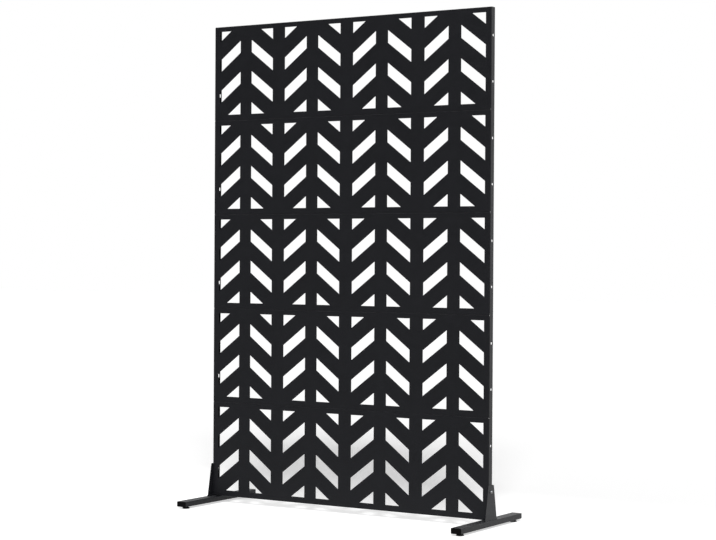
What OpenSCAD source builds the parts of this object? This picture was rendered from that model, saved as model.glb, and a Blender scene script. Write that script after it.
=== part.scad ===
// Free-standing privacy screen: five folded steel trays with leaf-shaped cut-outs, bolted in a stack,
// on two tube feet with welded uprights and screw-in levelling glides.
// Millimetres, +Z up. X runs along the width, the front faces -Y, and the floor is at Z = 0.

/* [Panels] */
// Width of a panel over its side flanges
panel_w = 1200; // [900:10:1500]
// Height of a panel over its top and bottom flanges
panel_h = 360; // [330:5:450]
// Depth of a panel from its face to the back of its flanges
panel_depth = 26; // [18:1:40]
// Thickness of the panel sheet
sheet_t = 1; // [0.8:0.1:1.5]
// Outside radius of the folded edges
bend_r = 2; // [1.8:0.1:3]
// Gap between the ends of two folds at a corner
corner_gap = 0.4; // [0.2:0.1:2]
// Gap from the ends of a side flange to the panel's top and bottom edges
side_flange_gap = 0.2; // [0.1:0.05:1]
// Width of the return that stiffens the back of a side flange
side_return = 13.5; // [12:0.5:20]
// Width of the upright slot in a side return, level with each side-flange hole
return_slot_w = 4.8; // [4:0.1:6]
// Height of a return slot
return_slot_h = 13; // [9:0.5:16]
// Corner radius of a return slot
return_slot_r = 1.8; // [1:0.1:1.9]
// Distance of a return slot's middle from the side of the panel
return_slot_inset = 6.9; // [6:0.1:8]

/* [Cut-outs] */
// Leaf pairs across a panel
leaf_pairs = 4; // [3:1:5]
// Plain border at each side of the face
side_border = 23; // [20:1:40]
// Plain border at the top of the face
top_border = 18.7; // [12:0.1:40]
// Plain border at the bottom of the face
bottom_border = 22.5; // [12:0.1:40]
// Width of the stem in the middle of a leaf pair
stem_w = 51.5; // [30:0.5:70]
// Width of the post between two leaf pairs
post_w = 55; // [30:0.5:80]
// Slope of the slots above the horizontal, in degrees
slot_angle = 37.3; // [25:0.1:45]
// Height of a slot, measured upright
slot_h = 46; // [30:0.5:60]
// Step from one slot up to the next
slot_pitch = 118.2; // [100:0.2:140]
// Height of the lowest whole slot's lower corner above the panel's bottom edge
slot_start = 64.3; // [50:0.1:80]

/* [Panel holes] */
// Distance of the side-flange holes from the panel's top and bottom edges
side_hole_edge = 99; // [90:1:110]
// Distance of the outermost seam bolts from the sides of a panel
end_bolt_inset = 16; // [14:0.5:20]
// Radial clearance of a bolt in its hole in sheet or plate
hole_gap = 0.5; // [0.3:0.05:0.8]
// Radial clearance of a bolt in a side-flange hole, which lets the feet be lined up
side_hole_gap = 1.5; // [0.5:0.1:2]

/* [Bolts, washers and nuts] */
// Thread diameter of the bolts
bolt_d = 6; // [5:0.5:6]
// Diameter of a button head
head_d = 10.5; // [9.5:0.1:11.5]
// Height of a button head
head_h = 3.3; // [2.8:0.1:4]
// Width of the hexagon socket across its flats
socket_w = 4; // [3:0.5:4.5]
// Depth of the hexagon socket
socket_depth = 2; // [1.5:0.1:2.4]
// Outside diameter of a washer
washer_d = 12; // [11.5:0.1:13]
// Thickness of a washer
washer_t = 1.2; // [0.8:0.1:1.6]
// Radial clearance of a bolt in a washer
washer_gap = 0.2; // [0.15:0.05:0.3]
// Width of a nut across its flats
nut_w = 10; // [9:0.5:10]
// Height of a nut
nut_h = 5; // [4:0.1:6]
// Bevel of a nut's faces, inside its flats
nut_bevel = 0.3; // [0.1:0.05:0.6]
// Radial running clearance of a thread
thread_gap = 0.05; // [0.03:0.01:0.1]
// Bolt length that stands out of a nut
bolt_spare = 2.5; // [1:0.5:4]
// Bevel at the end of a bolt or stud
end_bevel = 0.7; // [0.4:0.1:1]

/* [Feet] */
// Length of a foot tube
foot_length = 450; // [360:5:600]
// Width of a foot tube
foot_w = 40; // [34:1:50]
// Height of a foot tube
foot_h = 20; // [20:1:30]
// Wall of a foot tube
foot_wall = 1.5; // [1.2:0.1:2]
// Outside corner radius of a foot tube
foot_r = 2.5; // [2.1:0.1:3.5]
// How far a foot tube stands out past the side of the panels
foot_reach = 8; // [8:0.5:14]

/* [Uprights] */
// Height of an upright plate
upright_h = 124; // [120:1:160]
// Width of an upright plate at the foot
upright_base = 86; // [60:1:140]
// Width of an upright plate at its top
upright_top = 40; // [24:1:60]
// Thickness of an upright plate
upright_t = 3; // [2:0.1:3]
// Radius of an upright plate's top corners
upright_r = 5; // [2:0.5:10]
// Leg of the weld bead along an upright plate
weld_leg = 3.2; // [2:0.1:4]

/* [End caps] */
// Thickness of a cap's face
cap_t = 3; // [2:0.1:5]
// Depth of a cap's plug in the tube
plug_depth = 14; // [8:0.5:20]
// Wall of a cap's plug
plug_wall = 1.8; // [1:0.1:3]
// Clearance of a cap's plug in the tube, all round
plug_gap = 0.15; // [0.05:0.05:0.3]

/* [Rivet nuts for the panel bolts] */
// Diameter of a rivet nut's barrel
barrel_d = 9; // [8.5:0.1:10]
// Length of a rivet nut under its rim
barrel_length = 13; // [10:0.5:13]
// Diameter of a rivet nut's rim
rim_d = 13; // [12:0.1:14]
// Thickness of a rivet nut's rim
rim_t = 1; // [0.6:0.1:1.5]
// Radial clearance of a rivet nut in the tube wall
barrel_gap = 0.05; // [0.03:0.01:0.1]

/* [Levelling glides] */
// Distance of a glide from the end of its tube
glide_inset = 28; // [20:1:80]
// Diameter of a pad at the floor
pad_d = 28; // [22:1:34]
// Diameter of a pad at its top
pad_top_d = 19; // [16:0.5:21]
// Height of a pad
pad_h = 7; // [6:0.5:10]
// Height of a pad's straight rim
pad_rim_h = 3; // [2:0.5:4]
// Radius of a pad's lower edge
pad_edge_r = 1; // [0.5:0.1:1.5]
// Thread diameter of a stud
stud_d = 8; // [6:0.5:8]
// Length of a stud above its pad
stud_length = 18; // [16:0.5:18]
// Depth of a stud's end in its pad
stud_seat = 4; // [3:0.5:4.5]
// Gap between a pad and its insert with the glide screwed right in
glide_gap = 0.3; // [0.2:0.05:0.5]
// Diameter of a threaded insert's barrel
insert_d = 11; // [10.5:0.1:12]
// Length of a threaded insert above its rim
insert_length = 13; // [12:0.5:14]
// Diameter of a threaded insert's rim
insert_rim_d = 16; // [14:0.5:18]
// Thickness of a threaded insert's rim
insert_rim_t = 1.2; // [0.8:0.1:2]

/* [Hidden] */
$fn = 48;

// Signs that place a piece at the left or right, and at the front or rear
left = -1;
right = 1;
front = -1;
rear = 1;
// Room past a surface for a clean cut
cut = 1;

// Heights above the floor
foot_z = pad_h + glide_gap + insert_rim_t;
foot_top_z = foot_z + foot_h;
screen_z = foot_top_z + rim_t;

// Places along the width
screen_side = panel_w / 2;
end_bolt_x = screen_side - end_bolt_inset;
foot_mid_x = screen_side + foot_reach - foot_w / 2;

// Places along the depth
face_y = -panel_depth / 2;
glide_y = foot_length / 2 - glide_inset;

// Cut-out pattern
slot_w = (panel_w - 2 * side_border - leaf_pairs * stem_w - (leaf_pairs - 1) * post_w) / (2 * leaf_pairs);
slot_rise = slot_w * tan(slot_angle);
pair_pitch = 2 * slot_w + stem_w + post_w;
first_pair_x = -(leaf_pairs - 1) / 2 * pair_pitch;
window_h = panel_h - top_border - bottom_border;
first_slot = floor((bottom_border - slot_h - slot_rise - slot_start) / slot_pitch);
last_slot = ceil((panel_h - top_border - slot_start) / slot_pitch);

// Bolt places along a seam: behind each post, and over the foot tubes
post_xs = [for (i = [1 : leaf_pairs - 1]) first_pair_x + (i - 0.5) * pair_pitch];
seam_xs = concat([-end_bolt_x], post_xs, [end_bolt_x]);

// Bolt lengths, from what each bolt clamps
seam_bolt_length = 2 * washer_t + 2 * sheet_t + nut_h + bolt_spare;
side_bolt_length = 2 * washer_t + upright_t + sheet_t + nut_h + bolt_spare;
foot_bolt_length = washer_t + sheet_t + rim_t + barrel_length;

hole_d = bolt_d + 2 * hole_gap;
side_hole_d = bolt_d + 2 * side_hole_gap;
side_hole_z = screen_z + side_hole_edge;

steel_black = "#232428";
steel_zinc = "#8e9296";
plastic_black = "#101112";

function panel_z(row) = screen_z + row * panel_h;

// Points of a flat outline's round corner, about a centre, from one angle to another
function arc(centre, r, from, to, steps = 8) = [
    for (i = [0 : steps]) let (angle = from + (to - from) * i / steps)
        centre + r * [cos(angle), sin(angle)]
];

// A rectangle about the origin with round corners
module round_rectangle(w, h, r) {
    square([w - 2 * r, h], center = true);
    square([w, h - 2 * r], center = true);
    for (x = [-1, 1], y = [-1, 1]) translate([x * (w / 2 - r), y * (h / 2 - r)]) circle(r);
}

// The bend of a folded edge, seen along the fold.
// The outer side of its flange is at x = 0, and the face of the panel at y = 0.
module bend_profile() {
    intersection() {
        translate([-bend_r, 0]) square(bend_r);
        difference() {
            translate([-bend_r, bend_r]) circle(bend_r);
            translate([-bend_r, bend_r]) circle(bend_r - sheet_t);
        }
    }
}

// A folded edge, standing upright on the middle of its length: the bend, and the longer flange
// that runs back from it
module folded_edge(bend_length, flange_length, flange_depth) {
    translate([0, 0, -bend_length / 2]) linear_extrude(bend_length) bend_profile();
    translate([-sheet_t, bend_r, -flange_length / 2])
        cube([sheet_t, flange_depth, flange_length]);
}

// The return at the back of a side flange, folded inwards between the top and bottom flanges
module return_fold(length) {
    translate([0, panel_depth, -length / 2]) mirror([0, 1, 0]) linear_extrude(length) {
        bend_profile();
        translate([-side_return, 0]) square([side_return - bend_r, sheet_t]);
    }
}

// The slots of one half of a leaf pair, rising from x = 0 to the stem at x = slot_w
module slot_half() {
    intersection() {
        translate([0, bottom_border]) square([slot_w, window_h]);
        for (i = [first_slot : last_slot]) translate([0, slot_start + i * slot_pitch])
            polygon([[0, 0], [slot_w, slot_rise], [slot_w, slot_rise + slot_h], [0, slot_h]]);
    }
}

// The whole cut-out pattern of a face, with its bottom edge at y = 0
module slot_pattern() {
    for (i = [0 : leaf_pairs - 1], half = [0, 1]) translate([first_pair_x + i * pair_pitch, 0])
        mirror([half, 0]) translate([-slot_w - stem_w / 2, 0]) slot_half();
}

// One panel, with its bottom edge at z = 0: a pierced face and four flanges folded back.
// The side flanges run almost the full height, and cover the ends of the top and bottom ones.
module panel() {
    side_bend = panel_h - 2 * (bend_r + corner_gap);
    side_flange = panel_h - 2 * side_flange_gap;
    return_length = panel_h - 2 * (sheet_t + corner_gap);
    end_bend = panel_w - 2 * (bend_r + corner_gap);
    end_flange = panel_w - 2 * (sheet_t + corner_gap);
    color(steel_black) difference() {
        union() {
            difference() {
                translate([-screen_side + bend_r, face_y, bend_r])
                    cube([panel_w - 2 * bend_r, sheet_t, panel_h - 2 * bend_r]);
                translate([0, face_y + sheet_t + cut, 0]) rotate([90, 0, 0])
                    linear_extrude(sheet_t + 2 * cut) slot_pattern();
            }
            for (side = [0, 1]) mirror([side, 0, 0]) translate([screen_side, face_y, panel_h / 2]) {
                folded_edge(side_bend, side_flange, panel_depth - 2 * bend_r);
                return_fold(return_length);
            }
            for (side = [0, 1]) translate([0, face_y, panel_h / 2]) mirror([0, 0, side])
                translate([0, 0, panel_h / 2]) rotate([0, -90, 0])
                    folded_edge(end_bend, end_flange, panel_depth - bend_r);
        }
        for (x = seam_xs) translate([x, 0, -cut]) cylinder(d = hole_d, h = panel_h + 2 * cut);
        for (z = [side_hole_edge, panel_h - side_hole_edge]) {
            translate([-screen_side - cut, 0, z]) rotate([0, 90, 0])
                cylinder(d = side_hole_d, h = panel_w + 2 * cut);
            for (side = [left, right])
                translate([side * (screen_side - return_slot_inset), panel_depth / 2 + cut, z])
                    rotate([90, 0, 0]) linear_extrude(sheet_t + 2 * cut)
                        round_rectangle(return_slot_w, return_slot_h, return_slot_r);
        }
    }
}

// A screw with a domed head: the head stands on z = 0, and the thread runs down
module button_bolt(length) {
    head_rim = head_h / 5;
    dome_h = head_h - head_rim;
    dome_r = (pow(head_d / 2, 2) + pow(dome_h, 2)) / (2 * dome_h);
    color(steel_zinc) difference() {
        union() {
            intersection() {
                cylinder(d = head_d, h = head_h);
                translate([0, 0, head_h - dome_r]) sphere(dome_r);
            }
            translate([0, 0, end_bevel - length]) cylinder(d = bolt_d, h = length - end_bevel);
            translate([0, 0, -length]) cylinder(d1 = bolt_d - 2 * end_bevel, d2 = bolt_d, h = end_bevel);
        }
        translate([0, 0, head_h - socket_depth]) cylinder(d = socket_w / cos(30), h = head_h, $fn = 6);
    }
}

// A flat washer that lies on z = 0
module washer() {
    color(steel_zinc) difference() {
        cylinder(d = washer_d, h = washer_t);
        translate([0, 0, -cut]) cylinder(d = bolt_d + 2 * washer_gap, h = washer_t + 2 * cut);
    }
}

// A hexagon nut that hangs under z = 0, bevelled at both faces
module nut() {
    face_r = nut_w / 2 - nut_bevel;
    wide_r = face_r + nut_h / tan(30);
    color(steel_zinc) translate([0, 0, -nut_h]) difference() {
        intersection() {
            cylinder(d = nut_w / cos(30), h = nut_h, $fn = 6);
            cylinder(r1 = face_r, r2 = wide_r, h = nut_h);
            cylinder(r1 = wide_r, r2 = face_r, h = nut_h);
        }
        translate([0, 0, -cut]) cylinder(d = bolt_d + 2 * thread_gap, h = nut_h + 2 * cut);
    }
}

// Puts a piece at every bolt place of a seam, on the seam's height
module along_seam(seam) {
    for (x = seam_xs) translate([x, 0, panel_z(seam)]) children();
}

module seam_bolts(seam) {
    along_seam(seam) translate([0, 0, sheet_t + washer_t]) button_bolt(seam_bolt_length);
}

module seam_washers(seam) {
    along_seam(seam) {
        translate([0, 0, sheet_t]) washer();
        translate([0, 0, -sheet_t - washer_t]) washer();
    }
}

module seam_nuts(seam) {
    along_seam(seam) translate([0, 0, -sheet_t - washer_t]) nut();
}

// Puts a piece at the side of the screen, its z axis pointing outwards, with z = 0 on the flange
module at_side(side) {
    translate([side * screen_side, 0, side_hole_z]) rotate([0, side * 90, 0]) children();
}

module side_bolt(side) {
    at_side(side) translate([0, 0, upright_t + washer_t]) button_bolt(side_bolt_length);
}

module side_washers(side) {
    at_side(side) {
        translate([0, 0, upright_t]) washer();
        translate([0, 0, -sheet_t - washer_t]) washer();
    }
}

module side_nut(side) {
    at_side(side) translate([0, 0, -sheet_t - washer_t]) nut();
}

// Puts a piece under the outermost bolt hole of the bottom panel, with z = 0 on top of the tube
module on_foot(side) {
    translate([side * end_bolt_x, 0, foot_top_z]) children();
}

module foot_washer(side) {
    on_foot(side) translate([0, 0, rim_t + sheet_t]) washer();
}

module foot_bolt(side) {
    on_foot(side) translate([0, 0, rim_t + sheet_t + washer_t]) button_bolt(foot_bolt_length);
}

// A rivet nut: its rim lies on top of the tube, and its barrel hangs in the wall
module rivet_nut(side) {
    color(steel_zinc) on_foot(side) difference() {
        union() {
            cylinder(d = rim_d, h = rim_t);
            translate([0, 0, -barrel_length]) cylinder(d = barrel_d, h = barrel_length);
        }
        translate([0, 0, -barrel_length - cut])
            cylinder(d = bolt_d + 2 * thread_gap, h = barrel_length + rim_t + 2 * cut);
    }
}

// Puts a piece at one end of a foot tube, its z axis pointing up, with z = 0 under the tube
module at_glide(side, end) {
    translate([side * foot_mid_x, end * glide_y, foot_z]) children();
}

module foot_tube(side) {
    color(steel_black) difference() {
        translate([side * foot_mid_x, foot_length / 2, foot_z + foot_h / 2]) rotate([90, 0, 0])
            linear_extrude(foot_length) difference() {
                round_rectangle(foot_w, foot_h, foot_r);
                round_rectangle(foot_w - 2 * foot_wall, foot_h - 2 * foot_wall, foot_r - foot_wall);
            }
        on_foot(side) translate([0, 0, -foot_wall - cut])
            cylinder(d = barrel_d + 2 * barrel_gap, h = foot_wall + 2 * cut);
        for (end = [front, rear]) at_glide(side, end) translate([0, 0, -cut])
            cylinder(d = insert_d + 2 * barrel_gap, h = foot_wall + 2 * cut);
    }
}

// The upright plate's outline, standing on y = 0, with its top corners rounded
function upright_outline() =
    let (lean = atan2(upright_h, (upright_base - upright_top) / 2),
         centre_x = upright_top / 2 - upright_r * tan(lean / 2),
         centre = [centre_x, upright_h - upright_r],
         round_corner = arc(centre, upright_r, 90 - lean, 90))
    concat([[upright_base / 2, 0]], round_corner,
           [for (i = [len(round_corner) - 1 : -1 : 0]) [-round_corner[i][0], round_corner[i][1]]],
           [[-upright_base / 2, 0]]);

module upright(side) {
    color(steel_black) translate([side * (screen_side + upright_t / 2), 0, 0]) difference() {
        translate([-upright_t / 2, 0, foot_top_z]) rotate([90, 0, 90])
            linear_extrude(upright_t) polygon(upright_outline());
        translate([-upright_t / 2 - cut, 0, side_hole_z]) rotate([0, 90, 0])
            cylinder(d = hole_d, h = upright_t + 2 * cut);
    }
}

// A fillet weld along the outer face of an upright plate, where it stands on its tube
module weld_bead(side) {
    color(steel_black) translate([side * (screen_side + upright_t), 0, foot_top_z]) intersection() {
        rotate([90, 0, 0]) cylinder(r = weld_leg, h = upright_base, center = true);
        translate([min(0, side * weld_leg), -upright_base / 2, 0]) cube([weld_leg, upright_base, weld_leg]);
    }
}

// A plastic cap: its face closes the tube's end, and its hollow plug sits in the tube
module end_cap(side, end) {
    plug_w = foot_w - 2 * foot_wall - 2 * plug_gap;
    plug_h = foot_h - 2 * foot_wall - 2 * plug_gap;
    plug_r = foot_r - foot_wall;
    color(plastic_black) translate([side * foot_mid_x, end * foot_length / 2, foot_z + foot_h / 2])
        rotate([90, 0, end * 90 + 90]) {
            linear_extrude(cap_t) round_rectangle(foot_w, foot_h, foot_r);
            translate([0, 0, -plug_depth]) linear_extrude(plug_depth) difference() {
                round_rectangle(plug_w, plug_h, plug_r);
                round_rectangle(plug_w - 2 * plug_wall, plug_h - 2 * plug_wall, plug_r);
            }
        }
}

// A threaded insert: its rim lies under the tube, and its barrel stands in the wall
module insert(side, end) {
    color(steel_zinc) at_glide(side, end) difference() {
        union() {
            translate([0, 0, -insert_rim_t]) cylinder(d = insert_rim_d, h = insert_rim_t);
            cylinder(d = insert_d, h = insert_length);
        }
        translate([0, 0, -insert_rim_t - cut])
            cylinder(d = stud_d + 2 * thread_gap, h = insert_length + insert_rim_t + 2 * cut);
    }
}

module stud(side, end) {
    color(steel_zinc) translate([side * foot_mid_x, end * glide_y, pad_h]) {
        translate([0, 0, -stud_seat]) cylinder(d = stud_d, h = stud_seat + stud_length - end_bevel);
        translate([0, 0, stud_length - end_bevel])
            cylinder(d1 = stud_d, d2 = stud_d - 2 * end_bevel, h = end_bevel);
    }
}

// A turned pad with a rounded lower edge, a straight rim and a sloping top, bored for its stud
module pad(side, end) {
    edge = arc([pad_d / 2 - pad_edge_r, pad_edge_r], pad_edge_r, -90, 0);
    color(plastic_black) translate([side * foot_mid_x, end * glide_y, 0]) difference() {
        rotate_extrude() polygon(concat([[0, 0]], edge, [
            [pad_d / 2, pad_rim_h],
            [pad_top_d / 2, pad_h],
            [0, pad_h]
        ]));
        translate([0, 0, pad_h - stud_seat]) cylinder(d = stud_d, h = stud_seat + cut);
    }
}

translate([0, 0, panel_z(0)]) panel();  // bottom_panel
translate([0, 0, panel_z(1)]) panel();  // lower_panel
translate([0, 0, panel_z(2)]) panel();  // middle_panel
translate([0, 0, panel_z(3)]) panel();  // upper_panel
translate([0, 0, panel_z(4)]) panel();  // top_panel
seam_bolts(1);  // seam_1_bolts
seam_bolts(2);  // seam_2_bolts
seam_bolts(3);  // seam_3_bolts
seam_bolts(4);  // seam_4_bolts
seam_washers(1);  // seam_1_washers
seam_washers(2);  // seam_2_washers
seam_washers(3);  // seam_3_washers
seam_washers(4);  // seam_4_washers
seam_nuts(1);  // seam_1_nuts
seam_nuts(2);  // seam_2_nuts
seam_nuts(3);  // seam_3_nuts
seam_nuts(4);  // seam_4_nuts
foot_tube(left);  // left_foot_tube
foot_tube(right);  // right_foot_tube
upright(left);  // left_upright
upright(right);  // right_upright
weld_bead(left);  // left_weld_bead
weld_bead(right);  // right_weld_bead
side_bolt(left);  // left_side_bolt
side_bolt(right);  // right_side_bolt
side_washers(left);  // left_side_washers
side_washers(right);  // right_side_washers
side_nut(left);  // left_side_nut
side_nut(right);  // right_side_nut
foot_bolt(left);  // left_foot_bolt
foot_bolt(right);  // right_foot_bolt
foot_washer(left);  // left_foot_washer
foot_washer(right);  // right_foot_washer
rivet_nut(left);  // left_rivet_nut
rivet_nut(right);  // right_rivet_nut
end_cap(left, front);  // left_front_cap
end_cap(left, rear);  // left_rear_cap
end_cap(right, front);  // right_front_cap
end_cap(right, rear);  // right_rear_cap
insert(left, front);  // left_front_insert
insert(left, rear);  // left_rear_insert
insert(right, front);  // right_front_insert
insert(right, rear);  // right_rear_insert
stud(left, front);  // left_front_stud
stud(left, rear);  // left_rear_stud
stud(right, front);  // right_front_stud
stud(right, rear);  // right_rear_stud
pad(left, front);  // left_front_pad
pad(left, rear);  // left_rear_pad
pad(right, front);  // right_front_pad
pad(right, rear);  // right_rear_pad
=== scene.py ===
import math
import random

import bmesh
import bpy
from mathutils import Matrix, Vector


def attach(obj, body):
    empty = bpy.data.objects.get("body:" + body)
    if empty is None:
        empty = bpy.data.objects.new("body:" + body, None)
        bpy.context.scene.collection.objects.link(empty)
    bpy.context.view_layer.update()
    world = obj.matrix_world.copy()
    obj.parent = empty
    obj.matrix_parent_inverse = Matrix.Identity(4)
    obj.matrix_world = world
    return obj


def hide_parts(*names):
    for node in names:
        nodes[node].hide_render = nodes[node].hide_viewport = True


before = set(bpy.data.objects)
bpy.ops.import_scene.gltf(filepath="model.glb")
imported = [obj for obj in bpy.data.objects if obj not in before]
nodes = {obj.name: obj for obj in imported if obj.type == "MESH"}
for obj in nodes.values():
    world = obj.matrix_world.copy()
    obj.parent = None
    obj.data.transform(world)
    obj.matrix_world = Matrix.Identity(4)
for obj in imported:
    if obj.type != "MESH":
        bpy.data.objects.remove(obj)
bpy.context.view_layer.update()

mm = 0.001
hair = 0.01 * mm      # places closer than this count as one
chance = random.Random(7)
print("frame loaded: %d CAD nodes" % len(nodes))


def clearSelection():
    bpy.ops.object.select_all(action="DESELECT")


def makeActive(piece):
    clearSelection()
    piece.select_set(True)
    bpy.context.view_layer.objects.active = piece


def settle(piece, name=None):
    # the piece's place, turn and size go into its mesh
    makeActive(piece)
    bpy.ops.object.transform_apply(location=True, rotation=True, scale=True)
    if name:
        piece.name = name
        piece.data.name = name
    return piece


def newest(name):
    return settle(bpy.context.object, name)


def edit(piece):
    makeActive(piece)
    bpy.ops.object.mode_set(mode="EDIT")


def done():
    bpy.ops.object.mode_set(mode="OBJECT")


def pick(kind, test):
    # selects the corners, edges or faces that pass a test of their place or normal
    bpy.ops.mesh.select_mode(type=kind)
    bpy.ops.mesh.select_all(action="DESELECT")
    data = bpy.context.object.data
    mesh = bmesh.from_edit_mesh(data)
    mesh.normal_update()
    parts = {"VERT": mesh.verts, "EDGE": mesh.edges, "FACE": mesh.faces}[kind]
    for part in parts:
        if test(part):
            part.select_set(True)
    mesh.select_flush_mode()
    bmesh.update_edit_mesh(data)


def edgeAt(test):
    pick("EDGE", lambda edge: all(test(corner.co) for corner in edge.verts))


def extrude(step):
    bpy.ops.mesh.extrude_region_move(TRANSFORM_OT_translate={"value": step})


def scaleAbout(centre, factors):
    bpy.ops.transform.resize(value=factors, center_override=centre)


def ringIn(centre, size, margin):
    # a ring of faces inside the picked ones, margin wide on a shape of that size (0 leaves a way alone)
    extrude((0, 0, 0))
    scaleAbout(centre, [1 - 2 * margin / way if way else 1 for way in size])


def bisect(height, **keep):
    bpy.ops.mesh.select_all(action="SELECT")
    bpy.ops.mesh.bisect(plane_co=(0, 0, height), plane_no=(0, 0, 1), use_fill=True,
                        threshold=hair / 100, **keep)


def faceOut():
    bpy.ops.mesh.select_all(action="SELECT")
    bpy.ops.mesh.normals_make_consistent(inside=False)


def applyModifier(piece, kind, settings):
    makeActive(piece)
    bpy.ops.object.modifier_add(type=kind)
    modifier = piece.modifiers[-1]
    for key, value in settings.items():
        setattr(modifier, key, value)
    bpy.ops.object.modifier_apply(modifier=modifier.name)


def combine(piece, tool, operation):
    # adds the tool's shape to a piece, or cuts it away
    applyModifier(piece, "BOOLEAN", {"operation": operation, "solver": "EXACT", "object": tool})
    bpy.data.objects.remove(tool)


def twin(piece, name):
    makeActive(piece)
    bpy.ops.object.duplicate(linked=False)
    copy = bpy.context.object
    copy.name = name
    copy.data.name = name
    return copy


def join(parts, name):
    clearSelection()
    for part in parts:
        part.select_set(True)
    bpy.context.view_layer.objects.active = parts[0]
    bpy.ops.object.join()
    return settle(bpy.context.object, name)


def acrossCorners(flats):
    # a hexagon's width over its corners, from its width across the flats
    return flats / math.cos(math.pi / 6)


def smooth(piece, degrees=32):
    makeActive(piece)
    bpy.ops.object.shade_smooth_by_angle(angle=math.radians(degrees))


def handOver(piece, body, slotName, finish, *cadNodes):
    # a finished piece gets its material, rides on its body and stands for its CAD nodes
    piece.data.materials.clear()
    piece.data.materials.append(finish)
    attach(piece, body)
    if cadNodes:
        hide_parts(*cadNodes)


class Signal:
    def __init__(self, sheet, socket):
        self.sheet = sheet
        self.socket = socket

    def __add__(self, other):
        return self.sheet.math("ADD", self, other)

    def __radd__(self, other):
        return self.sheet.math("ADD", other, self)

    def __sub__(self, other):
        return self.sheet.math("SUBTRACT", self, other)

    def __rsub__(self, other):
        return self.sheet.math("SUBTRACT", other, self)

    def __mul__(self, other):
        return self.sheet.math("MULTIPLY", self, other)

    def __rmul__(self, other):
        return self.sheet.math("MULTIPLY", other, self)

    def clip(self, low, high):
        # 0 below low, 1 above high, straight between them
        return self.sheet.add("MapRange", {"clamp": True}, {"Value": self, "From Min": low, "From Max": high})


class Sheet:
    # the node sheet of a material or of the world
    def __init__(self, owner):
        owner.use_nodes = True
        self.owner = owner
        self.tree = owner.node_tree
        self.tree.nodes.clear()

    def add(self, kind, settings=None, sockets=None, output=0):
        node = self.tree.nodes.new("ShaderNode" + kind)
        for key, value in (settings or {}).items():
            setattr(node, key, value)
        for key, value in (sockets or {}).items():
            if isinstance(value, Signal):
                self.tree.links.new(value.socket, node.inputs[key])
            else:
                node.inputs[key].default_value = value
        return Signal(self, node.outputs[output] if len(node.outputs) else None)

    def math(self, operation, *values):
        return self.add("Math", {"operation": operation}, dict(enumerate(values)))

    def noise(self, place, scale, detail=2.0, roughness=0.5, distortion=0.0):
        return self.add("TexNoise", None, {"Vector": place, "Scale": scale, "Detail": detail,
                                           "Roughness": roughness, "Distortion": distortion})

    def blend(self, share, first, second):
        # two colours mixed by a share from 0 to 1
        colours = [c if isinstance(c, Signal) else (*c, 1) for c in (first, second)]
        return self.add("Mix", {"data_type": "RGBA"}, {0: share, 6: colours[0], 7: colours[1]}, 2)

    def stretch(self, place, factors):
        return self.add("VectorMath", {"operation": "MULTIPLY"}, {0: place, 1: factors})


def newSheet(name):
    return Sheet(bpy.data.materials.new(name))


coatLook = {
    "deep": (0.0036, 0.0038, 0.0052),    # linear colours
    "pale": (0.0066, 0.0069, 0.0091),
    # pale grey for worn spots and for the painted edge highlight
    "wornEdgeAndHighlight": (0.060, 0.061, 0.065),
    "dust": (0.085, 0.083, 0.080),
    # light specks: painted glints of the textured coat
    "glintFleck": (0.020, 0.021, 0.023),
    "cloudScale": 3.2,                    # patches per metre
    "dustScale": 24,
    "mottleScale": 38,
    "wearScale": 65,
    "peelScale": 520,
    "grainScale": 1700,
    "glintFleckScale": 2300,
    "peelDepth": 0.09 * mm,
    "grainDepth": 0.12 * mm,
    "glintFleckShare": 0.7,
    "edgeHighlightShare": 0.22,                    # how far every edge is lightened: partly a thinner coat, partly a painted edge highlight
    "wearShare": 0.35,                    # and what patchy wear adds
    "dustShare": 0.16,
    "roughness": 0.47,
    "specular": 0.23,
    "edgeRadius": 0.4 * mm,
}


def makeCoat():
    look = coatLook
    sheet = newSheet("black_powder_coat")
    place = sheet.add("TexCoord", output="Object")
    normal = sheet.add("NewGeometry", output="Normal")
    rounded = sheet.add("Bevel", {"samples": 4}, {"Radius": look["edgeRadius"]})
    turned = sheet.add("VectorMath", {"operation": "DOT_PRODUCT"}, {0: rounded, 1: normal}, "Value")
    edge = (1 - turned).clip(0.01, 0.20)

    cloud = sheet.noise(place, look["cloudScale"], 3.0)
    mottle = sheet.noise(place, look["mottleScale"], 4.0, 0.6)
    peel = sheet.noise(place, look["peelScale"], 2.0, 0.45)
    grain = sheet.noise(place, look["grainScale"], 1.0)
    wear = sheet.noise(place, look["wearScale"], 5.0, 0.65).clip(0.50, 0.70)

    up = sheet.add("SeparateXYZ", None, {0: normal}, "Z").clip(0.6, 1.0)
    dust = up * sheet.noise(place, look["dustScale"], 5.0, 0.6).clip(0.35, 0.8) * look["dustShare"]

    tone = (cloud * 0.4 + mottle * 0.3 + grain * 0.3).clip(0.3, 0.7)
    colour = sheet.blend(tone, look["deep"], look["pale"])
    # light specks painted into the colour, standing in for glints on the coat's texture
    glintFleck = sheet.noise(place, look["glintFleckScale"], 1.0).clip(0.56, 0.70)
    colour = sheet.blend(glintFleck * look["glintFleckShare"], colour, look["glintFleck"])
    # every edge turns towards the pale colour, partly thinner coat and partly a painted edge highlight;
    # patchy wear adds real rubbing
    colour = sheet.blend(edge * (look["edgeHighlightShare"] + wear * look["wearShare"]), colour, look["wornEdgeAndHighlight"])
    colour = sheet.blend(dust, colour, look["dust"])
    roughness = look["roughness"] + (mottle - 0.5) * 0.14 + dust * 0.8 - edge * 0.06

    height = peel * look["peelDepth"] + grain * look["grainDepth"]
    bump = sheet.add("Bump", None, {"Strength": 1.0, "Distance": 1.0, "Height": height, "Normal": rounded})
    shader = sheet.add("BsdfPrincipled", None, {"Base Color": colour, "Roughness": roughness, "Normal": bump,
                                                "Specular IOR Level": look["specular"]})
    sheet.add("OutputMaterial", None, {"Surface": shader})
    return sheet.owner


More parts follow.
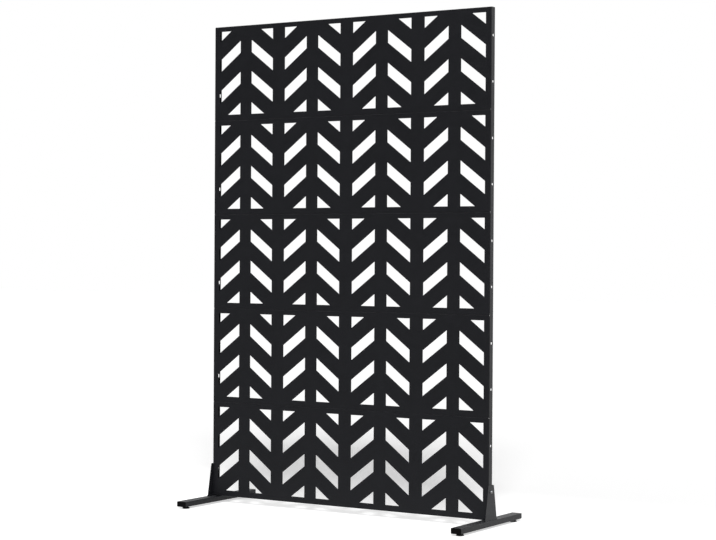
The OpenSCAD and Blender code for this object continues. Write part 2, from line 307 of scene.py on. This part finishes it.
zincLook = {
    "cool": (0.24, 0.25, 0.272),
    "warm": (0.275, 0.268, 0.245),
    "dull": (0.17, 0.17, 0.18),
    "roughness": 0.46,
    "driftScale": 90,
    "stainScale": 420,
    "brushScale": 2600,
    "brushDepth": 0.012 * mm,
    "stainShare": 0.55,
}


def makeZinc():
    look = zincLook
    sheet = newSheet("dull_zinc_plating")
    place = sheet.add("TexCoord", output="Object")
    drift = sheet.noise(place, look["driftScale"], 3.0).clip(0.35, 0.65)
    stain = sheet.noise(place, look["stainScale"], 5.0, 0.65).clip(0.52, 0.75)
    turnMarks = sheet.noise(sheet.stretch(place, (1.0, 1.0, 0.25)), look["brushScale"], 2.0)
    colour = sheet.blend(drift, look["cool"], look["warm"])
    colour = sheet.blend(stain * look["stainShare"], colour, look["dull"])
    roughness = look["roughness"] + (turnMarks - 0.5) * 0.16 + stain * 0.2
    height = turnMarks * look["brushDepth"]
    bump = sheet.add("Bump", None, {"Strength": 1.0, "Distance": 1.0, "Height": height})
    shader = sheet.add("BsdfPrincipled", None, {"Base Color": colour, "Metallic": 1.0,
                                                "Roughness": roughness, "Normal": bump})
    sheet.add("OutputMaterial", None, {"Surface": shader})
    return sheet.owner


plasticLook = {
    "capDeep": (0.0018, 0.0018, 0.0020),
    "capPale": (0.0034, 0.0034, 0.0036),
    "padDeep": (0.0095, 0.0095, 0.0098),
    "padPale": (0.0180, 0.0178, 0.0175),
    "scuff": (0.11, 0.105, 0.098),
    "flowScale": 55,
    "scuffScale": 700,
    "sparkScale": 1150,
    "sparkDepth": 0.035 * mm,
    "scuffHeight": (0.2 * mm, 2.2 * mm),      # full wear up to the first height, none above the second
    "capRoughness": 0.42,
    "padRoughness": 0.55,
    "padWear": 0.6,
    "specular": 0.05,
}


def makePlastic(name, deep, pale, roughness, floorWear):
    # spark-eroded moulded plastic; floorWear greys what touches the floor
    look = plasticLook
    sheet = newSheet(name)
    place = sheet.add("TexCoord", output="Object")
    spark = sheet.noise(place, look["sparkScale"], 2.0, 0.55)
    flow = sheet.noise(sheet.stretch(place, (1.0, 1.0, 3.0)), look["flowScale"], 3.0)
    colour = sheet.blend((flow * 0.7 + spark * 0.3).clip(0.3, 0.7), deep, pale)
    rough = roughness + (spark - 0.5) * 0.18
    if floorWear:
        height = sheet.add("SeparateXYZ", None, {0: place}, "Z")
        low = 1 - height.clip(*look["scuffHeight"])
        scuff = low * sheet.noise(place, look["scuffScale"], 4.0, 0.7).clip(0.40, 0.72) * floorWear
        colour = sheet.blend(scuff, colour, look["scuff"])
        rough = rough + scuff * 0.25
    bump = sheet.add("Bump", None, {"Strength": 1.0, "Distance": 1.0, "Height": spark * look["sparkDepth"]})
    shader = sheet.add("BsdfPrincipled", None, {"Base Color": colour, "Roughness": rough, "Normal": bump,
                                                "Specular IOR Level": look["specular"]})
    sheet.add("OutputMaterial", None, {"Surface": shader})
    return sheet.owner


coat = makeCoat()
zinc = makeZinc()
capPlastic = makePlastic("black_cap_plastic", plasticLook["capDeep"], plasticLook["capPale"],
                         plasticLook["capRoughness"], 0)
padPlastic = makePlastic("black_pad_plastic", plasticLook["padDeep"], plasticLook["padPale"],
                         plasticLook["padRoughness"], plasticLook["padWear"])

coatedNames = ("panel", "foot_tube", "upright", "weld_bead")
for name, node in nodes.items():
    if name.endswith(coatedNames):
        finish = coat
    elif name.endswith("cap"):
        finish = capPlastic
    elif name.endswith("pad"):
        finish = padPlastic
    else:
        finish = zinc
    for slot in node.material_slots:
        slot.material = finish
print("finishes: powder coat, zinc plating, cap plastic, pad plastic")


threadSet = {
    "tooth": 0.61,                    # height of a tooth, in pitches
    "endRings": (0.7, 0.45, 0.2),     # the end is drawn in below each of these heights
    "endFactor": 0.955,
}


def makeThread(name, spec):
    # a threaded rod that runs down from just over z = 0 to its length, cut flat at both ends
    radius, pitch, length = spec["radius"] * mm, spec["pitch"] * mm, spec["length"] * mm
    tooth = threadSet["tooth"] * pitch
    start = -length - 2 * pitch
    clearSelection()
    bpy.ops.mesh.primitive_plane_add(size=pitch, location=(radius - tooth + pitch / 2, 0, start),
                                     rotation=(math.pi / 2, 0, 0))
    rod = newest(name)
    edit(rod)
    pick("VERT", lambda corner: corner.co.x > radius - tooth + pitch / 4)
    bpy.ops.mesh.delete(type="VERT")
    bpy.ops.mesh.select_all(action="SELECT")
    bpy.ops.mesh.subdivide(number_cuts=2)
    for side in (-1, 1):      # the two corners of the tooth's crest
        pick("VERT", lambda corner: abs(corner.co.z - start - side * pitch / 6) < pitch / 20)
        bpy.ops.transform.translate(value=(tooth, 0, side * (pitch / 16 - pitch / 6)))
    done()
    turns = math.ceil(length / pitch) + 4
    applyModifier(rod, "SCREW", {"angle": 2 * math.pi, "screw_offset": pitch, "iterations": turns,
                                 "steps": spec["steps"], "render_steps": spec["steps"]})
    edit(rod)
    bpy.ops.mesh.select_all(action="SELECT")
    bpy.ops.mesh.remove_doubles(threshold=hair / 10)
    bisect(-length, clear_inner=True)
    bisect(spec["above"] * mm, clear_outer=True)
    faceOut()
    for height in threadSet["endRings"]:
        pick("VERT", lambda corner: corner.co.z < -length + height * mm)
        scaleAbout((0, 0, -length), (threadSet["endFactor"], threadSet["endFactor"], 1))
    done()
    return rod


boltSet = {
    "thread": {"radius": 3, "pitch": 1.0, "steps": 24, "above": 0.5},
    "headRadius": 5.25,
    "headHeight": 3.3,
    "domeBevel": 2.55,
    "seatBevel": 0.2,
    "socketWidth": 4,
    "socketDepth": 2,
    "drillPoint": 0.7,
}


def makeBolt(name, length):
    # the head stands on z = 0 and the thread runs down, as on the CAD bolts
    headRadius, headHeight = boltSet["headRadius"] * mm, boltSet["headHeight"] * mm
    clearSelection()
    bpy.ops.mesh.primitive_cylinder_add(vertices=40, radius=headRadius, depth=headHeight,
                                        location=(0, 0, headHeight / 2))
    bolt = newest(name)
    edit(bolt)
    edgeAt(lambda place: place.z > headHeight - hair)
    bpy.ops.mesh.bevel(offset=boltSet["domeBevel"] * mm, segments=6, profile=0.5, affect="EDGES")
    edgeAt(lambda place: place.z < hair)
    bpy.ops.mesh.bevel(offset=boltSet["seatBevel"] * mm, segments=2, affect="EDGES")
    done()

    socketDepth = boltSet["socketDepth"] * mm
    socketRadius = acrossCorners(boltSet["socketWidth"] * mm) / 2
    clearSelection()
    bpy.ops.mesh.primitive_cylinder_add(vertices=6, radius=socketRadius, depth=2 * socketDepth,
                                        location=(0, 0, headHeight))
    socket = newest("socket_tool")
    edit(socket)
    pick("FACE", lambda face: face.normal.z < -0.9)
    extrude((0, 0, -boltSet["drillPoint"] * mm))      # under the hexagon
    scaleAbout((0, 0, headHeight - socketDepth), (0.1, 0.1, 1))
    done()
    combine(bolt, socket, "DIFFERENCE")
    combine(bolt, makeThread("thread_tool", dict(boltSet["thread"], length=length)), "UNION")
    smooth(bolt)
    return bolt


def placeBolt(master, name, place, turn=0.0):
    bolt = twin(master, name)
    bolt.rotation_euler = (0, 0, chance.uniform(0, math.pi / 3))      # each socket stands its own way
    settle(bolt)
    bolt.rotation_euler = (0, turn, 0)
    bolt.location = [value * mm for value in place]
    return settle(bolt)


boltPlaces = {
    "seamXs": (-584, -302.25, 0, 302.25, 584),
    "seamLength": 11.9,
    "seamRise": 2.2,
    "bottomEdge": 29.5,
    "panelHeight": 360,
    "sideLength": 13.9,
    "sideX": 604.2,
    "sideZ": 128.5,
    "footLength": 16.2,
    "footX": 584,
    "footZ": 31.7,
}

seamBolt = makeBolt("seam_bolt_master", boltPlaces["seamLength"])
for seam in (1, 2, 3, 4):
    headZ = boltPlaces["bottomEdge"] + seam * boltPlaces["panelHeight"] + boltPlaces["seamRise"]
    row = [placeBolt(seamBolt, "seam_bolt", (x, 0, headZ)) for x in boltPlaces["seamXs"]]
    handOver(join(row, "seam_%d_button_bolts" % seam), "screen", "zinc", zinc, "seam_%d_bolts" % seam)
bpy.data.objects.remove(seamBolt)

sideBolt = makeBolt("side_bolt_master", boltPlaces["sideLength"])
footBolt = makeBolt("foot_bolt_master", boltPlaces["footLength"])
for side, sign in (("left", -1), ("right", 1)):
    bolt = placeBolt(sideBolt, side + "_side_button_bolt",
                     (sign * boltPlaces["sideX"], 0, boltPlaces["sideZ"]), sign * math.pi / 2)
    handOver(bolt, "screen", "zinc", zinc, side + "_side_bolt")
    bolt = placeBolt(footBolt, side + "_foot_button_bolt",
                     (sign * boltPlaces["footX"], 0, boltPlaces["footZ"]))
    handOver(bolt, "screen", "zinc", zinc, side + "_foot_bolt")
bpy.data.objects.remove(sideBolt)
bpy.data.objects.remove(footBolt)
print("bolts: 20 in the seams, 2 in the uprights, 2 in the feet")


weldSet = {
    "cornerX": 603,       # the upright's outer face
    "cornerZ": 28.5,      # the top of the tube
    "leg": 3.2,
    "halfLength": 43,
    "ripples": 58,
    "lead": 0.9,          # how far a ripple's middle runs ahead of its toes
    "swell": (0.90, 0.965, 1.0, 0.975),
}


def makeWeld(name):
    corner = Vector((weldSet["cornerX"], -weldSet["halfLength"], weldSet["cornerZ"])) * mm
    leg = weldSet["leg"] * mm
    clearSelection()
    bpy.ops.mesh.primitive_circle_add(vertices=32, radius=leg, fill_type="TRIFAN", location=corner,
                                      rotation=(math.pi / 2, 0, 0))
    bead = newest(name)
    edit(bead)
    pick("VERT", lambda point: point.co.x < corner.x - hair or point.co.z < corner.z - hair)
    bpy.ops.mesh.delete(type="VERT")
    for step in range(1, 8):
        angle = step * math.pi / 16
        spot = corner + Vector((math.cos(angle), 0, math.sin(angle))) * leg
        pick("VERT", lambda point: (point.co - spot).length < 0.1 * mm)
        bpy.ops.transform.translate(value=(0, weldSet["lead"] * mm * math.sin(2 * angle), 0))
    pick("FACE", lambda face: True)
    swell = weldSet["swell"]
    travel = 2 * weldSet["halfLength"] - weldSet["lead"]
    step = travel * mm / (weldSet["ripples"] * len(swell))
    size = 1.0
    wanted = swell[0] * 0.8
    scaleAbout(corner, (wanted / size, 1, wanted / size))
    size = wanted
    for ripple in range(weldSet["ripples"]):
        girth = chance.uniform(0.93, 1.0)
        for part in swell:
            extrude((0, step, 0))
            wanted = part * girth
            scaleAbout(corner, (wanted / size, 1, wanted / size))
            size = wanted
    faceOut()
    done()
    smooth(bead, 40)
    return bead


rightWeld = makeWeld("right_rippled_weld")
leftWeld = twin(rightWeld, "left_rippled_weld")
leftWeld.scale = (-1, 1, 1)
settle(leftWeld)
edit(leftWeld)
faceOut()
done()
handOver(rightWeld, "screen", "powder_coat", coat, "right_weld_bead")
handOver(leftWeld, "screen", "powder_coat", coat, "left_weld_bead")
print("weld beads: two, of %d ripples" % weldSet["ripples"])


capSet = {
    "centre": (588, -225, 18.5),
    "width": 40,
    "height": 20,
    "corner": 2.5,
    "face": 2.7,
    "crown": 0.3,
    "edge": 0.8,
    "jointEdge": 0.3,
    "crownSteps": ((0.8, 0.0), (1.6, 0.6), (1.8, 0.3), (2.4, 0.1)),      # ring width, share of the crown
    "plugInset": 1.65,
    "plugWall": 1.8,
    "plugDepth": 14,
    "plugLead": 1.6,
    "plugFloor": 0.5,
    "fins": 4,
    "finWidth": 0.9,
    "finSlope": 0.35,
    "groove": 0.45,
    "grooveWidth": 1.1,
}


def makeCap(name):
    x, y, z = (value * mm for value in capSet["centre"])
    width, height, face = capSet["width"] * mm, capSet["height"] * mm, capSet["face"] * mm
    clearSelection()
    bpy.ops.mesh.primitive_cube_add(size=1, location=(x, y - face / 2, z), scale=(width, face, height))
    cap = newest(name)
    edit(cap)
    pick("EDGE", lambda edge: abs(edge.verts[0].co.y - edge.verts[1].co.y) > face / 2)
    bpy.ops.mesh.bevel(offset=capSet["corner"] * mm, segments=6, affect="EDGES")
    edgeAt(lambda place: place.y < y - face + hair)
    bpy.ops.mesh.bevel(offset=capSet["edge"] * mm, segments=3, affect="EDGES")
    edgeAt(lambda place: place.y > y - hair)
    bpy.ops.mesh.bevel(offset=capSet["jointEdge"] * mm, segments=2, affect="EDGES")      # the fine joint
    pick("FACE", lambda part: part.normal.y < -0.99 and part.calc_area() > width * height / 2)
    size = (width, 0, height)
    for margin, rise in capSet["crownSteps"]:
        ringIn((x, y, z), size, margin * mm)
        bpy.ops.transform.translate(value=(0, -rise * capSet["crown"] * mm, 0))

    # the plug: a lead into the tube, then soft fins between grooves, then the hollow
    pick("FACE", lambda part: part.normal.y > 0.99 and part.calc_area() > width * height / 2)
    bpy.ops.mesh.inset(thickness=capSet["plugInset"] * mm)
    groove = capSet["groove"] * mm
    plugWidth = width - 2 * capSet["plugInset"] * mm
    plugHeight = height - 2 * capSet["plugInset"] * mm
    narrow = (1 - 2 * groove / plugWidth, 1, 1 - 2 * groove / plugHeight)
    wide = (1 / narrow[0], 1, 1 / narrow[2])
    centre = (x, y, z)
    extrude((0, capSet["plugLead"] * mm, 0))
    for fin in range(capSet["fins"]):
        extrude((0, capSet["finSlope"] * mm, 0))
        scaleAbout(centre, narrow)
        extrude((0, capSet["grooveWidth"] * mm, 0))
        extrude((0, capSet["finSlope"] * mm, 0))
        scaleAbout(centre, wide)
        extrude((0, capSet["finWidth"] * mm, 0))
    extrude((0, capSet["plugLead"] * mm, 0))
    scaleAbout(centre, narrow)
    ringIn(centre, (plugWidth, 0, plugHeight), (capSet["plugWall"] - capSet["groove"]) * mm)
    extrude((0, -(capSet["plugDepth"] - capSet["plugFloor"]) * mm, 0))
    faceOut()
    done()
    smooth(cap, 35)
    return cap


capMaster = makeCap("cap_master")
for side, sign in (("left", -1), ("right", 1)):
    for end, turn in (("front", 0.0), ("rear", math.pi)):
        cap = twin(capMaster, "%s_%s_moulded_cap" % (side, end))
        if sign < 0:
            cap.location.x = -2 * capSet["centre"][0] * mm
            settle(cap)
        if turn:      # a half turn about the screen's middle, and back to its own side
            cap.rotation_euler = (0, 0, turn)
            settle(cap)
            cap.location.x = sign * 2 * capSet["centre"][0] * mm
            settle(cap)
        handOver(cap, "screen", "cap_plastic", capPlastic, "%s_%s_cap" % (side, end))
bpy.data.objects.remove(capMaster)
print("end caps: four, with finned plugs")


padSet = {
    "radius": 14,
    "edge": 1.0,
    "rim": 3.0,
    "coneTop": 10.6,
    "coneHeight": 4.7,
    "rimBevel": (0.25, 0.3),      # how far it rises and runs in
    "lip": 0.3,
    "standRing": 2.6,             # the ring that stands on the floor
    "hollow": 0.6,                # depth of the hollow inside it
    "hollowRing": 4.0,
    "boss": 0.4,                  # how far the middle comes down again
    "fluteFactor": 0.965,
    "hexWidth": 16,
    "hexHeight": 4,
    "hexBevel": 0.45,
    "hexCorner": 0.5,
    "height": 7,
    "boreRadius": 4,
    "boreDepth": 4,
    "flutes": 12,
    "around": 72,
}

studSet = {"radius": 4, "pitch": 1.25, "steps": 28, "length": 22, "above": 0.0}


def makePad(name):
    # built about the origin: extruded rings, then a spanner hexagon and the bore for the stud
    radius, edgeSize = padSet["radius"] * mm, padSet["edge"] * mm
    clearSelection()
    bpy.ops.mesh.primitive_circle_add(vertices=padSet["around"], radius=radius - edgeSize, fill_type="NGON")
    pad = newest(name)
    edit(pad)
    pick("FACE", lambda face: True)
    height, ring = 0.0, radius - edgeSize
    steps = [(edgeSize * (1 - math.cos(a)), radius - edgeSize + edgeSize * math.sin(a))
             for a in (math.pi / 6, math.pi / 3, math.pi / 2)]
    rim, bevel = padSet["rim"] * mm, padSet["rimBevel"]
    steps += [(rim, radius), (rim + bevel[0] * mm, radius - bevel[1] * mm),
              (padSet["coneHeight"] * mm, padSet["coneTop"] * mm)]
    for nextHeight, nextRing in steps:
        extrude((0, 0, nextHeight - height))
        scaleAbout((0, 0, nextHeight), (nextRing / ring, nextRing / ring, 1))
        height, ring = nextHeight, nextRing
    faceOut()
    pick("FACE", lambda face: face.normal.z < -0.9 and face.calc_area() > radius * radius)
    for width, step in ((padSet["standRing"], padSet["hollow"]), (padSet["hollowRing"], -padSet["boss"])):
        bpy.ops.mesh.inset(thickness=width * mm)
        bpy.ops.mesh.inset(thickness=padSet["lip"] * mm)
        bpy.ops.transform.translate(value=(0, 0, step * mm))

    def inFlute(corner):
        share = math.atan2(corner.co.y, corner.co.x) / (2 * math.pi) * padSet["flutes"] % 1
        onRim = 1.01 * edgeSize > corner.co.z > 0.9 * edgeSize or abs(corner.co.z - rim) < hair
        return onRim and corner.co.xy.length > radius - 0.1 * mm and 0.3 < share < 0.7

    pick("VERT", inFlute)
    scaleAbout((0, 0, 0), (padSet["fluteFactor"], padSet["fluteFactor"], 1))
    done()

    hexTop, hexHeight = padSet["height"] * mm, padSet["hexHeight"] * mm
    clearSelection()
    bpy.ops.mesh.primitive_cylinder_add(vertices=6, radius=acrossCorners(padSet["hexWidth"] * mm) / 2,
                                        depth=hexHeight, location=(0, 0, hexTop - hexHeight / 2))
    hexagon = newest("hexagon_tool")
    edit(hexagon)
    edgeAt(lambda place: place.z > hexTop - hair)
    bpy.ops.mesh.bevel(offset=padSet["hexBevel"] * mm, segments=2, affect="EDGES")
    pick("EDGE", lambda edge: abs(edge.verts[0].co.z - edge.verts[1].co.z) > hexHeight / 2)
    bpy.ops.mesh.bevel(offset=padSet["hexCorner"] * mm, segments=2, affect="EDGES")
    done()
    combine(pad, hexagon, "UNION")

    boreDepth = padSet["boreDepth"] * mm
    clearSelection()
    bpy.ops.mesh.primitive_cylinder_add(vertices=48, radius=padSet["boreRadius"] * mm, depth=2 * boreDepth,
                                        location=(0, 0, hexTop))
    combine(pad, newest("bore_tool"), "DIFFERENCE")
    smooth(pad, 30)
    return pad


glideSet = {"x": 588, "y": 197, "studTop": 25}

padMaster = makePad("pad_master")
studMaster = makeThread("stud_master", studSet)
studMaster.rotation_euler = (math.pi, 0, 0)      # its bevelled end goes up into the tube
settle(studMaster)
studMaster.location.z = (glideSet["studTop"] - studSet["length"]) * mm
settle(studMaster)
smooth(studMaster)
for side, sideSign in (("left", -1), ("right", 1)):
    for end, endSign in (("front", -1), ("rear", 1)):
        corner = "%s_%s" % (side, end)
        spin = chance.uniform(0, 2 * math.pi)
        place = (sideSign * glideSet["x"] * mm, endSign * glideSet["y"] * mm, 0)
        for master, piece, slotName, finish in ((padMaster, "moulded_pad", "pad_plastic", padPlastic),
                                                (studMaster, "threaded_stud", "zinc", zinc)):
            copy = twin(master, "%s_%s" % (corner, piece))
            copy.rotation_euler = (0, 0, spin)
            copy.location = place
            settle(copy)
            cadNode = "%s_%s" % (corner, "pad" if master is padMaster else "stud")
            handOver(copy, corner + "_glide", slotName, finish, cadNode)
bpy.data.objects.remove(padMaster)
bpy.data.objects.remove(studMaster)
print("glides: four pads and studs")


cameraSet = {
    "place": (3.5578, -5.6049, 0.9563),
    "turn": (89.536, -0.332, 32.07),      # degrees
    "lens": 90.66,
}

clearSelection()
bpy.ops.object.camera_add(location=cameraSet["place"],
                          rotation=[math.radians(value) for value in cameraSet["turn"]])
camera = bpy.context.object
camera.name = "view_camera"
camera.data.lens = cameraSet["lens"]
camera.data.sensor_width = 36
bpy.context.scene.camera = camera
bpy.context.scene.view_settings.view_transform = "Standard"

floorSet = {
    "size": 60,
    "shade": 0.95,            # the floor's own grey, for light that falls on it
    "glow": 0.56,             # a glow for the camera only, strong under the screen so that it reads white: painted light that washes out the screen's cast shadow there
    "farGlow": 0.23,          # and weaker well behind it, so that the shadow shows deeper there
    "fade": (0.1, 0.95),      # from this distance behind the screen to that one
    "mirrored": 0.55,         # what it adds in reflections of the floor behind the screen
    "mirroredShade": 0.75,    # the floor's grey in reflections of its front part
    "behind": (-0.6, 0.4),    # depths between which the front part turns into the rear one
}

clearSelection()
bpy.ops.mesh.primitive_plane_add(size=floorSet["size"])
floor = newest("studio_floor")
sheet = newSheet("studio_floor")
toCamera = sheet.add("LightPath", output="Is Camera Ray")
inGloss = sheet.add("LightPath", output="Is Glossy Ray")
spot = sheet.add("TexCoord", output="Object")
rearward = sheet.add("SeparateXYZ", None, {0: spot}, "Y")
behind = rearward.clip(*floorSet["behind"])
# painted light: the floor's camera glow fades from the strong level under the screen to the weak one behind,
# so the cast shadow is washed out near the screen and deeper further back
paintedShadowLift = floorSet["glow"] + rearward.clip(*floorSet["fade"]) * (floorSet["farGlow"] - floorSet["glow"])
glow = sheet.add("Emission", None, {"Strength": toCamera * paintedShadowLift + inGloss * behind * floorSet["mirrored"]})
shade, frontShade = ((floorSet[key],) * 3 for key in ("shade", "mirroredShade"))
paint = sheet.add("BsdfDiffuse", None, {"Color": sheet.blend(inGloss * (1 - behind), shade, frontShade)})
both = sheet.add("AddShader", None, {0: glow, 1: paint})
sheet.add("OutputMaterial", None, {"Surface": both})
floor.data.materials.append(sheet.owner)

worldSet = {
    "ambient": 0.36,
    "mirrorFront": 0.04,      # what gloss shows in front of the screen, and behind it
    "mirrorRear": 1.2,
    "rearWay": (0.467, 0.884, 0.0),
    "rearSpan": (-0.2, 0.7),
    "overhead": (0.35, 0.85),      # from this rise to that one, the ceiling brightens
    "lamp": (0.80, 0.97),          # and here gloss shows the soft lamp above the screen
    "lampLevel": 8.0,
}

world = bpy.data.worlds.new("studio")
bpy.context.scene.world = world
sheet = Sheet(world)
toCamera = sheet.add("LightPath", output="Is Camera Ray")
inGloss = sheet.add("LightPath", output="Is Glossy Ray")
way = sheet.add("TexCoord", output="Generated")
rearward = sheet.add("VectorMath", {"operation": "DOT_PRODUCT"}, {0: way, 1: worldSet["rearWay"]}, "Value")
rise = sheet.add("SeparateXYZ", None, {0: way}, "Z")
bright = sheet.math("MAXIMUM", rearward.clip(*worldSet["rearSpan"]), rise.clip(*worldSet["overhead"]))
mirror = worldSet["mirrorFront"] + bright * (worldSet["mirrorRear"] - worldSet["mirrorFront"])
mirror = mirror + rise.clip(*worldSet["lamp"]) * worldSet["lampLevel"]
unseen = inGloss * mirror + (1 - inGloss) * worldSet["ambient"]
level = toCamera + (1 - toCamera) * unseen
backdrop = sheet.add("Background", None, {"Color": (1, 1, 1, 1), "Strength": level})
sheet.add("OutputWorld", None, {"Surface": backdrop})

keySet = {
    "from": (0.58, -0.95, 0.72),      # the way towards the light
    "strength": 2.7,
    "spread": 16,      # degrees
}

clearSelection()
toLight = Vector(keySet["from"])
bpy.ops.object.light_add(type="SUN", location=toLight * 4,
                         rotation=(-toLight).to_track_quat("-Z", "Y").to_euler())
key = bpy.context.object
key.name = "key_light"
key.data.energy = keySet["strength"]
key.data.angle = math.radians(keySet["spread"])
print("studio: camera, floor, world and key light")
